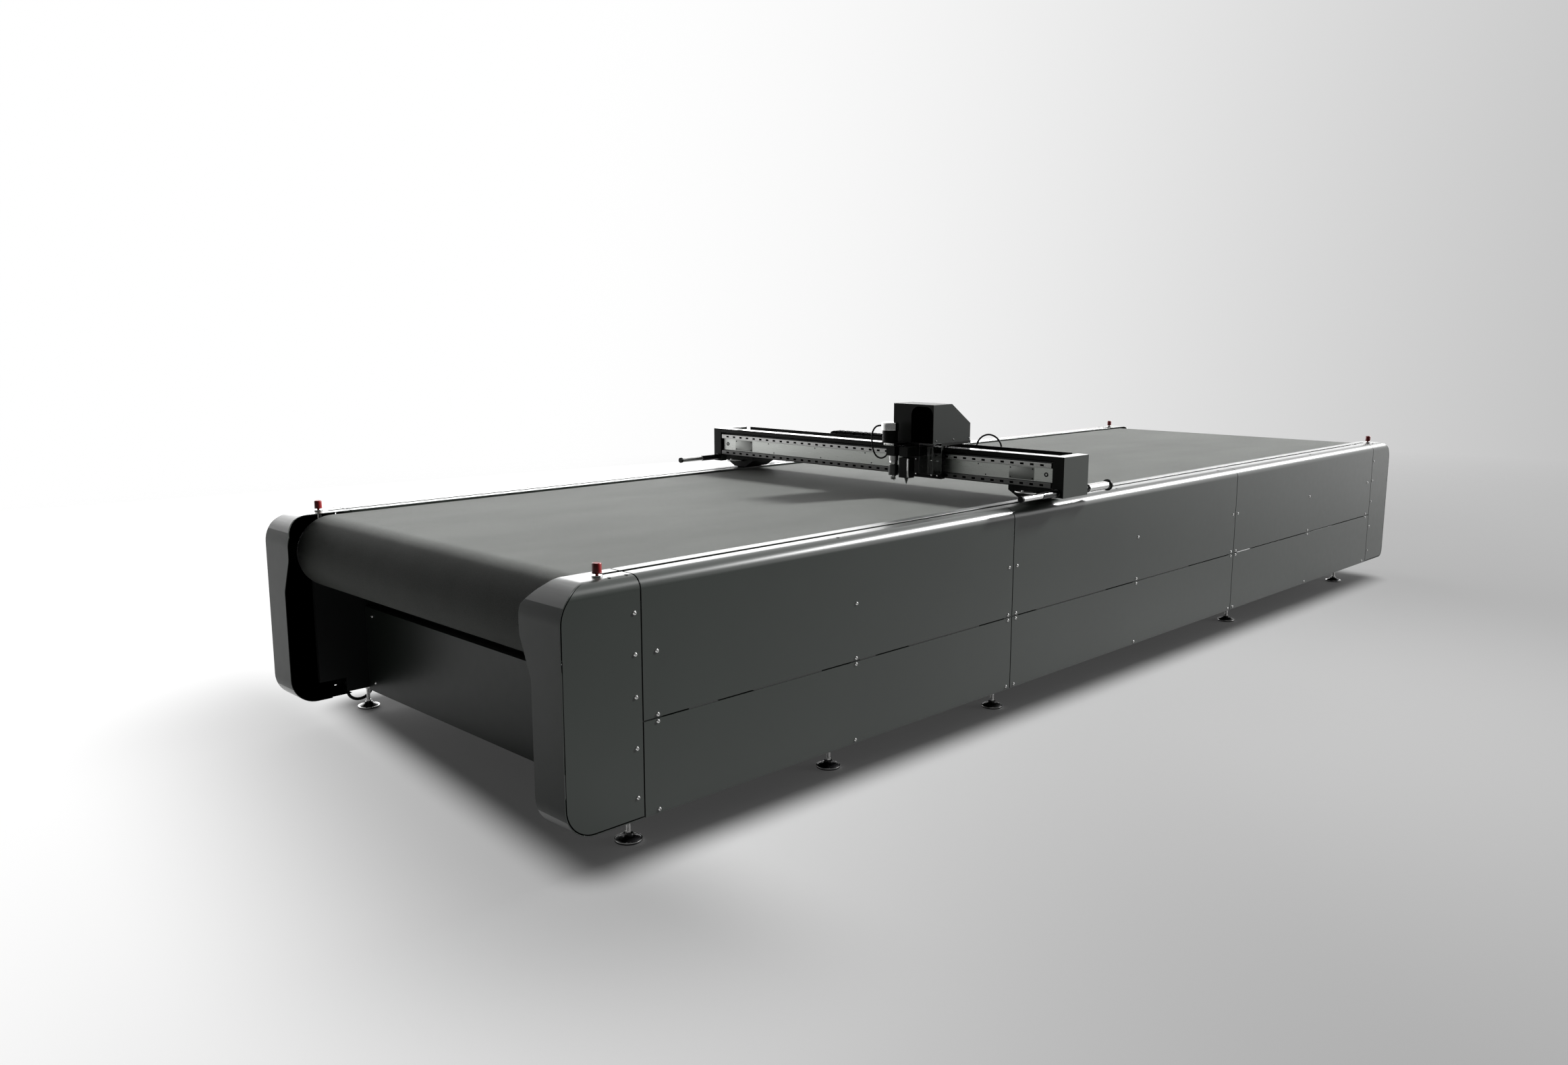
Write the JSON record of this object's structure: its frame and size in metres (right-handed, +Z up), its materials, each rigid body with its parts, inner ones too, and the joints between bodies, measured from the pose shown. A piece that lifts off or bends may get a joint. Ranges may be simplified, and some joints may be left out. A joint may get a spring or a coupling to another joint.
{
  "type": "flatbed cutting machine",
  "caption": "Long flatbed cutting machine: felt conveyor belt in a rounded sheet-metal body on levelling feet, with a travelling gantry and a knife head.",
  "frame": {"origin": "floor level under the middle of the machine", "axes": "+X along the bed away from the near end, +Y to the left long side, +Z up"},
  "size_m": [6.46, 2.164, 1.238],
  "materials": {
    "frame_paint": "satin",
    "body_paint": "satin",
    "bed_aluminium": "milled",
    "belt_felt": "felt",
    "bearing_iron": "painted",
    "motor_paint": "semi-gloss",
    "rail_steel": "ground",
    "roller_steel": "turned",
    "foot_steel": "zinc plated",
    "screw_steel": "polished",
    "duct_plastic": "smooth",
    "cabinet_paint": "textured",
    "stop_collar": "polished",
    "stop_red": "gloss",
    "gland_plastic": "smooth",
    "cable_rubber": "matte",
    "beam_anodised": "anodised",
    "panel_pale": "satin",
    "gantry_black": "satin",
    "bracket_bright": "polished",
    "chain_plastic": "smooth",
    "sleeve_black": "smooth",
    "rod_chrome": "polished",
    "carriage_aluminium": "anodised",
    "guard_clear": "clear",
    "blade_steel": "ground",
    "tool_metal": "turned"
  },
  "bodies": {
    "base": {"side_frame_right": "frame_paint", "side_frame_left": "frame_paint", "cross_members": "frame_paint", "upper_panels_right": "body_paint", "upper_panels_left": "body_paint", "lower_panels_right": "body_paint", "lower_panels_left": "body_paint", "end_caps": "body_paint", "cap_side_plates": "body_paint", "end_panels": "body_paint", "belt_edge_strips": "body_paint", "vacuum_bed": "bed_aluminium", "conveyor_belt": "belt_felt", "roller_bearings": "bearing_iron", "belt_gearmotor": "motor_paint", "vacuum_blower": "motor_paint", "gantry_rails": "rail_steel", "gantry_racks": "rail_steel", "levelling_feet": "foot_steel", "panel_screws": "screw_steel", "vacuum_duct": "duct_plastic", "control_cabinet": "cabinet_paint", "estop_bases": "stop_collar", "cable_glands": "gland_plastic", "supply_cable": "cable_rubber", "signal_cable": "cable_rubber"},
    "gantry": {"gantry_beam": "beam_anodised", "beam_front_panel": "panel_pale", "beam_top_cover": "gantry_black", "gantry_end_boxes": "gantry_black", "gantry_carriages": "bracket_bright", "rail_bearing_blocks": "rail_steel", "head_rails": "rail_steel", "head_rack": "rail_steel", "gantry_motors": "motor_paint", "chain_tray": "gantry_black", "energy_chain": "chain_plastic", "beam_hose": "cable_rubber", "bumper_sleeves": "sleeve_black"},
    "head": {"head_carriage": "carriage_aluminium", "head_housing": "gantry_black", "tool_guard": "guard_clear", "head_motors": "motor_paint", "head_cable": "cable_rubber"},
    "drive_roller": {"drive_roller": "roller_steel"},
    "idler_roller": {"idler_roller": "roller_steel"},
    "pinion_right": {"pinion_right": "rail_steel"},
    "pinion_left": {"pinion_left": "rail_steel"},
    "head_pinion": {"head_pinion": "rail_steel"},
    "knife_quill": {"knife_quill": "rod_chrome"},
    "knife_blade": {"knife_blade": "blade_steel"},
    "second_tool": {"second_tool": "tool_metal"},
    "estop_button_near_right": {"estop_button_near_right": "stop_red"},
    "estop_button_near_left": {"estop_button_near_left": "stop_red"},
    "estop_button_far_right": {"estop_button_far_right": "stop_red"},
    "estop_button_far_left": {"estop_button_far_left": "stop_red"},
    "bumper_rod_front_right": {"bumper_rod_front_right": "rod_chrome"},
    "bumper_rod_front_left": {"bumper_rod_front_left": "rod_chrome"},
    "bumper_rod_rear_right": {"bumper_rod_rear_right": "rod_chrome"},
    "bumper_rod_rear_left": {"bumper_rod_rear_left": "rod_chrome"}
  },
  "joints": [
    {"name": "gantry_travel", "type": "slide", "parent": "base", "child": "gantry", "axis": [1, 0, 0], "range_m": [-1.95, 3.35]},
    {"name": "head_travel", "type": "slide", "parent": "gantry", "child": "head", "axis": [0, 1, 0], "range_m": [-0.455, 1.1], "deforming": ["energy_chain"]},
    {"name": "knife_lift", "type": "slide", "parent": "head", "child": "knife_quill", "axis": [0, 0, 1], "range_m": [-0.047, 0]},
    {"name": "knife_turn", "type": "hinge", "parent": "knife_quill", "child": "knife_blade", "pos_m": [-0.925, -0.287, 0.914], "axis": [0, 0, 1], "continuous": true},
    {"name": "marker_lift", "type": "slide", "parent": "head", "child": "second_tool", "axis": [0, 0, 1], "range_m": [-0.04, 0]},
    {"name": "drive_roller_spin", "type": "hinge", "parent": "base", "child": "drive_roller", "pos_m": [-3.035, 0, 0.7007], "axis": [0, 1, 0], "continuous": true},
    {"name": "idler_roller_spin", "type": "hinge", "parent": "base", "child": "idler_roller", "pos_m": [3.035, 0, 0.7007], "axis": [0, 1, 0], "continuous": true},
    {"name": "pinion_right_spin", "type": "hinge", "parent": "gantry", "child": "pinion_right", "pos_m": [-0.69, -0.97, 0.73], "axis": [0, 0, 1], "continuous": true},
    {"name": "pinion_left_spin", "type": "hinge", "parent": "gantry", "child": "pinion_left", "pos_m": [-0.69, 0.97, 0.73], "axis": [0, 0, 1], "continuous": true},
    {"name": "head_pinion_spin", "type": "hinge", "parent": "head", "child": "head_pinion", "pos_m": [-0.628, -0.362, 1.048], "axis": [0, 0, 1], "continuous": true},
    {"name": "estop_near_right_press", "type": "slide", "parent": "base", "child": "estop_button_near_right", "axis": [0, 0, 1], "range_m": [-0.004, 0], "stiffness_N_per_m": 800, "springref_m": 0.002},
    {"name": "estop_near_left_press", "type": "slide", "parent": "base", "child": "estop_button_near_left", "axis": [0, 0, 1], "range_m": [-0.004, 0], "stiffness_N_per_m": 800, "springref_m": 0.002},
    {"name": "estop_far_right_press", "type": "slide", "parent": "base", "child": "estop_button_far_right", "axis": [0, 0, 1], "range_m": [-0.004, 0], "stiffness_N_per_m": 800, "springref_m": 0.002},
    {"name": "estop_far_left_press", "type": "slide", "parent": "base", "child": "estop_button_far_left", "axis": [0, 0, 1], "range_m": [-0.004, 0], "stiffness_N_per_m": 800, "springref_m": 0.002},
    {"name": "bumper_front_right_press", "type": "slide", "parent": "gantry", "child": "bumper_rod_front_right", "axis": [1, 0, 0], "range_m": [0, 0.02], "stiffness_N_per_m": 3000, "springref_m": -0.002},
    {"name": "bumper_front_left_press", "type": "slide", "parent": "gantry", "child": "bumper_rod_front_left", "axis": [1, 0, 0], "range_m": [0, 0.02], "stiffness_N_per_m": 3000, "springref_m": -0.002},
    {"name": "bumper_rear_right_press", "type": "slide", "parent": "gantry", "child": "bumper_rod_rear_right", "axis": [1, 0, 0], "range_m": [-0.02, 0], "stiffness_N_per_m": 3000, "springref_m": 0.002},
    {"name": "bumper_rear_left_press", "type": "slide", "parent": "gantry", "child": "bumper_rod_rear_left", "axis": [1, 0, 0], "range_m": [-0.02, 0], "stiffness_N_per_m": 3000, "springref_m": 0.002}
  ],
  "couplings": [
    {"joint": "idler_roller_spin", "follows": "drive_roller_spin", "ratio": 1},
    {"joint": "pinion_right_spin", "follows": "gantry_travel", "rad_per_m": 41.667},
    {"joint": "pinion_left_spin", "follows": "gantry_travel", "rad_per_m": -41.667},
    {"joint": "head_pinion_spin", "follows": "head_travel", "rad_per_m": -55.556}
  ]
}
